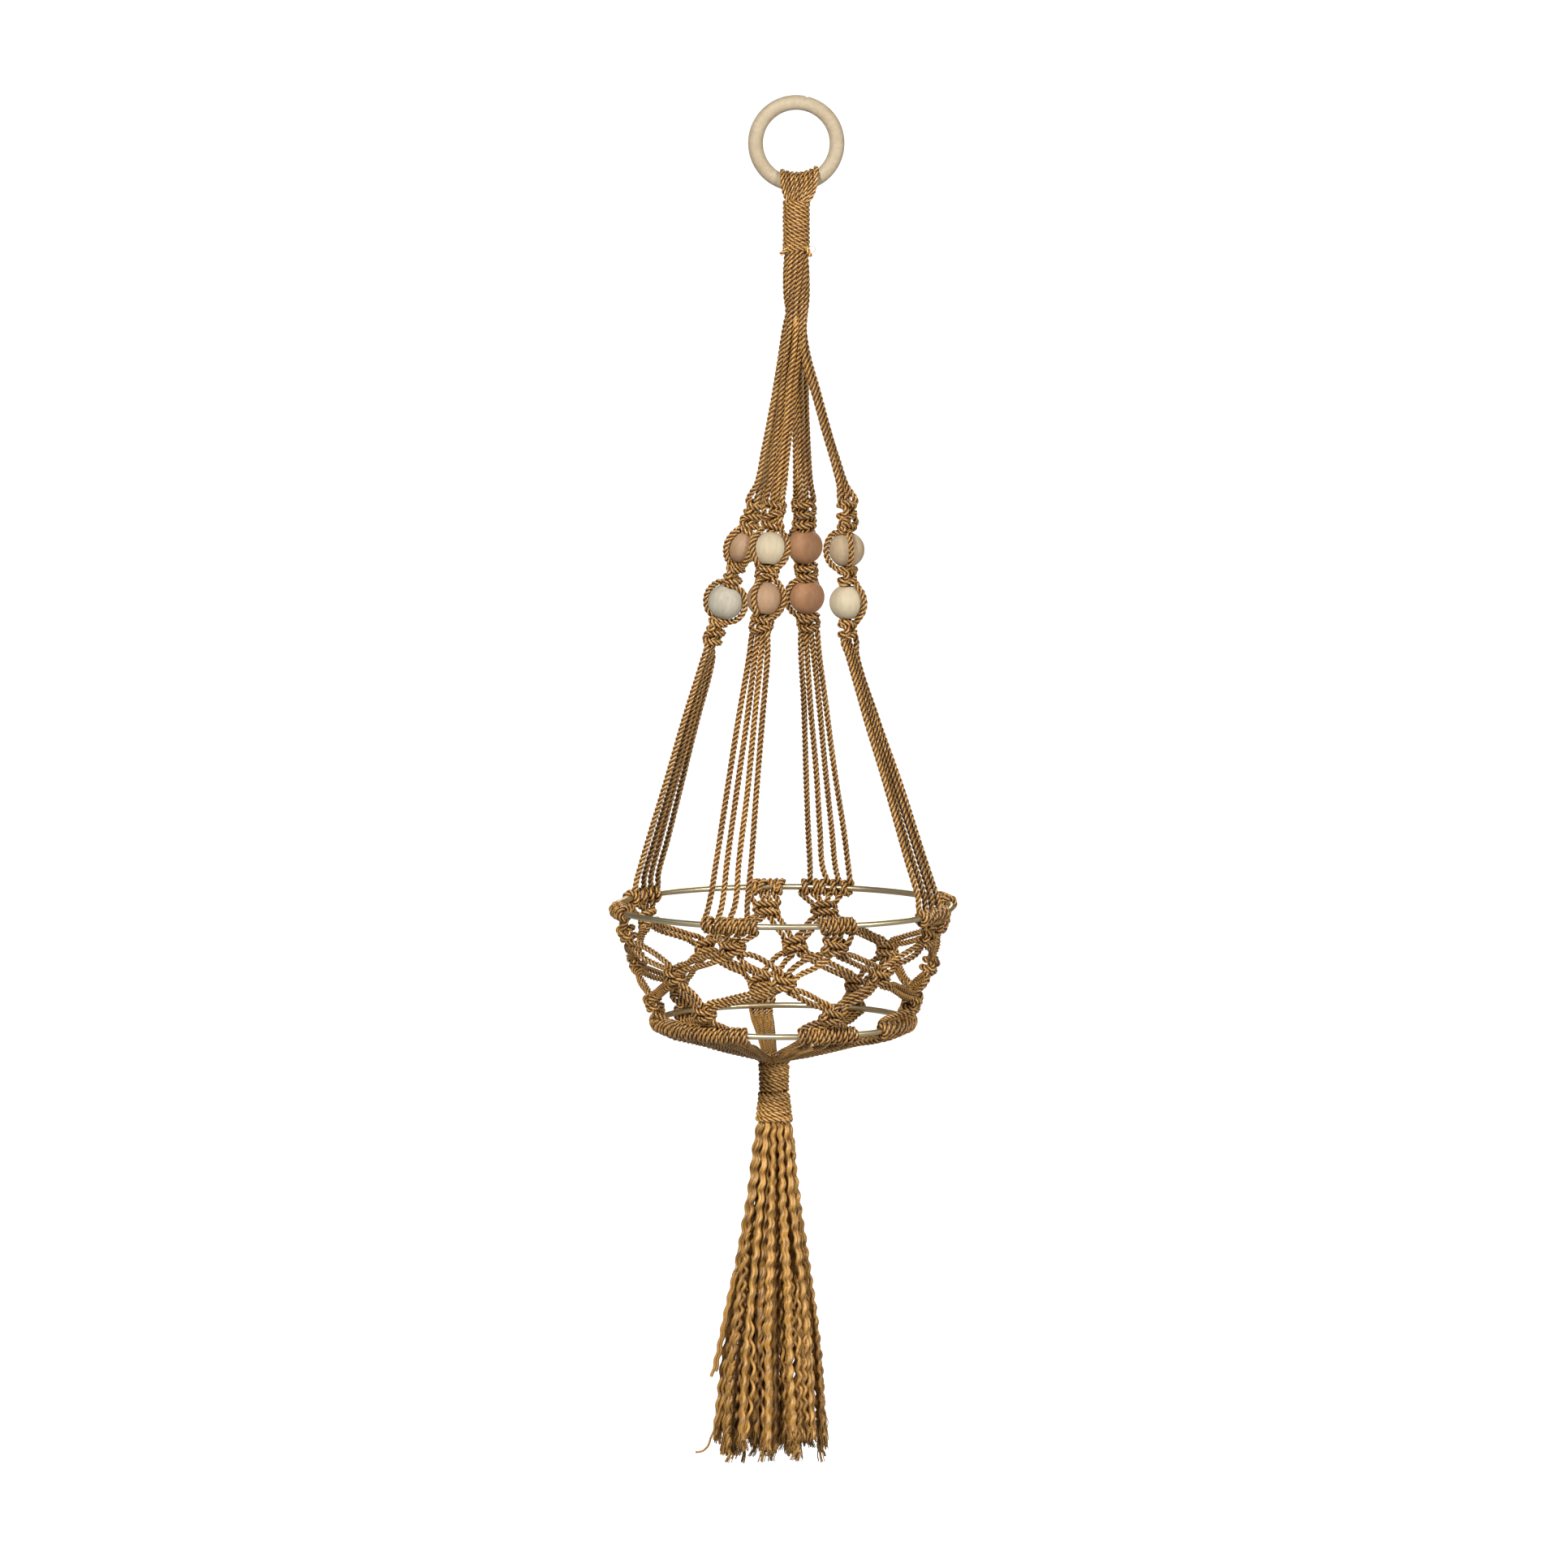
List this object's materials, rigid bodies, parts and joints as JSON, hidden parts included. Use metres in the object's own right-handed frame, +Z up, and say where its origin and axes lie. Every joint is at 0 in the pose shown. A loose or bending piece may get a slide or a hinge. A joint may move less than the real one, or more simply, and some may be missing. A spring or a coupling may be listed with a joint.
{
  "type": "hanging macrame planter",
  "caption": "Hanging plant holder of twisted satin cord: wooden ring, wrapped head, beaded straps, two metal hoops joined by a knotted net, and a long tassel below.",
  "frame": {"origin": "where a hook carries the planter: the inner top of the wooden ring", "axes": "+Z up along the hanging planter, -Y towards the front, +X to the right as seen from the front"},
  "size_m": [0.2602, 0.2616, 1.0152],
  "materials": {
    "ring_wood": "raw sanded beech",
    "cord": "laid satin cord with a soft sheen",
    "bead_cream": "raw pale wood",
    "bead_pink": "raw pinkish wood",
    "bead_beige": "raw beige wood",
    "bead_grey": "raw grey cream wood",
    "bead_terracotta": "raw reddish wood",
    "hoop_metal": "satin brass plated rod"
  },
  "bodies": {
    "ring": {"wooden_ring": "ring_wood"},
    "head": {"ring_loops": "cord", "top_wrap": "cord"},
    "hanger": {"neck_cords": "cord", "upper_cords_front": "cord", "upper_knot_front": "cord", "bead_cords_front": "cord", "middle_knot_front": "cord", "lower_knot_front": "cord", "strap_cords_front": "cord", "strap_hitches_front": "cord", "upper_cords_right": "cord", "upper_knot_right": "cord", "bead_cords_right": "cord", "middle_knot_right": "cord", "lower_knot_right": "cord", "strap_cords_right": "cord", "strap_hitches_right": "cord", "upper_cords_back": "cord", "upper_knot_back": "cord", "bead_cords_back": "cord", "middle_knot_back": "cord", "lower_knot_back": "cord", "strap_cords_back": "cord", "strap_hitches_back": "cord", "upper_cords_left": "cord", "upper_knot_left": "cord", "bead_cords_left": "cord", "middle_knot_left": "cord", "lower_knot_left": "cord", "strap_cords_left": "cord", "strap_hitches_left": "cord", "upper_hoop": "hoop_metal", "net_cord_hitches": "cord", "net_front": "cord", "net_right": "cord", "net_back": "cord", "net_left": "cord"},
    "upper_bead_front": {"upper_bead_front": "bead_cream"},
    "lower_bead_front": {"lower_bead_front": "bead_pink"},
    "upper_bead_right": {"upper_bead_right": "bead_beige"},
    "lower_bead_right": {"lower_bead_right": "bead_cream"},
    "upper_bead_back": {"upper_bead_back": "bead_terracotta"},
    "lower_bead_back": {"lower_bead_back": "bead_terracotta"},
    "upper_bead_left": {"upper_bead_left": "bead_pink"},
    "lower_bead_left": {"lower_bead_left": "bead_grey"},
    "basket_base": {"lower_hoop": "hoop_metal", "base_hitches_front": "cord", "base_hitches_back": "cord", "under_cords_front": "cord", "under_cords_right": "cord", "under_cords_back": "cord", "under_cords_left": "cord", "gathered_cords": "cord"},
    "tassel_head": {"bottom_wrap": "cord", "tassel_wrap": "cord"},
    "tassel": {"tassel": "cord"}
  },
  "joints": [
    {"name": "ring_swing", "type": "hinge", "parent": "ring", "child": "head", "pos_m": [0, 0, -0.0539], "axis": [1, 0, 0], "range_deg": [-60, 60]},
    {"name": "neck_sway", "type": "hinge", "parent": "head", "child": "hanger", "pos_m": [0, 0, -0.1159], "axis": [0, 1, 0], "range_deg": [-20, 20]},
    {"name": "upper_bead_front_spin", "type": "hinge", "parent": "hanger", "child": "upper_bead_front", "pos_m": [-0.01948, -0.04375, -0.3228], "axis": [0.1055, 0.2768, 0.9551], "continuous": true},
    {"name": "lower_bead_front_spin", "type": "hinge", "parent": "hanger", "child": "lower_bead_front", "pos_m": [-0.02347, -0.05421, -0.3589], "axis": [0.1055, 0.2768, 0.9551], "continuous": true},
    {"name": "upper_bead_right_spin", "type": "hinge", "parent": "hanger", "child": "upper_bead_right", "pos_m": [0.03746, -0.02179, -0.3252], "axis": [-0.0064, 0.0116, 0.9999], "continuous": true},
    {"name": "lower_bead_right_spin", "type": "hinge", "parent": "hanger", "child": "lower_bead_right", "pos_m": [0.03771, -0.02225, -0.3644], "axis": [-0.0064, 0.0116, 0.9999], "continuous": true},
    {"name": "upper_bead_back_spin", "type": "hinge", "parent": "hanger", "child": "upper_bead_back", "pos_m": [0.00653, 0.04443, -0.3293], "axis": [-0.0367, -0.1967, 0.9798], "continuous": true},
    {"name": "lower_bead_back_spin", "type": "hinge", "parent": "hanger", "child": "lower_bead_back", "pos_m": [0.00798, 0.05216, -0.3678], "axis": [-0.0367, -0.1967, 0.9798], "continuous": true},
    {"name": "upper_bead_left_spin", "type": "hinge", "parent": "hanger", "child": "upper_bead_left", "pos_m": [-0.03925, 0.0212, -0.3268], "axis": [0.2963, -0.1756, 0.9388], "continuous": true},
    {"name": "lower_bead_left_spin", "type": "hinge", "parent": "hanger", "child": "lower_bead_left", "pos_m": [-0.05267, 0.02915, -0.3693], "axis": [0.2963, -0.1756, 0.9388], "continuous": true},
    {"name": "basket_collapse", "type": "slide", "parent": "hanger", "child": "basket_base", "axis": [0, 0, 1], "range_m": [0, 0.05], "deforming": ["net_front", "net_right", "net_back", "net_left"]},
    {"name": "tassel_tilt", "type": "hinge", "parent": "basket_base", "child": "tassel_head", "pos_m": [-0.0165, 0, -0.7254], "axis": [0, 1, 0], "range_deg": [-15, 15]},
    {"name": "tassel_swing", "type": "hinge", "parent": "tassel_head", "child": "tassel", "pos_m": [-0.0165, 0, -0.7744], "axis": [1, 0, 0], "range_deg": [-30, 30]}
  ]
}
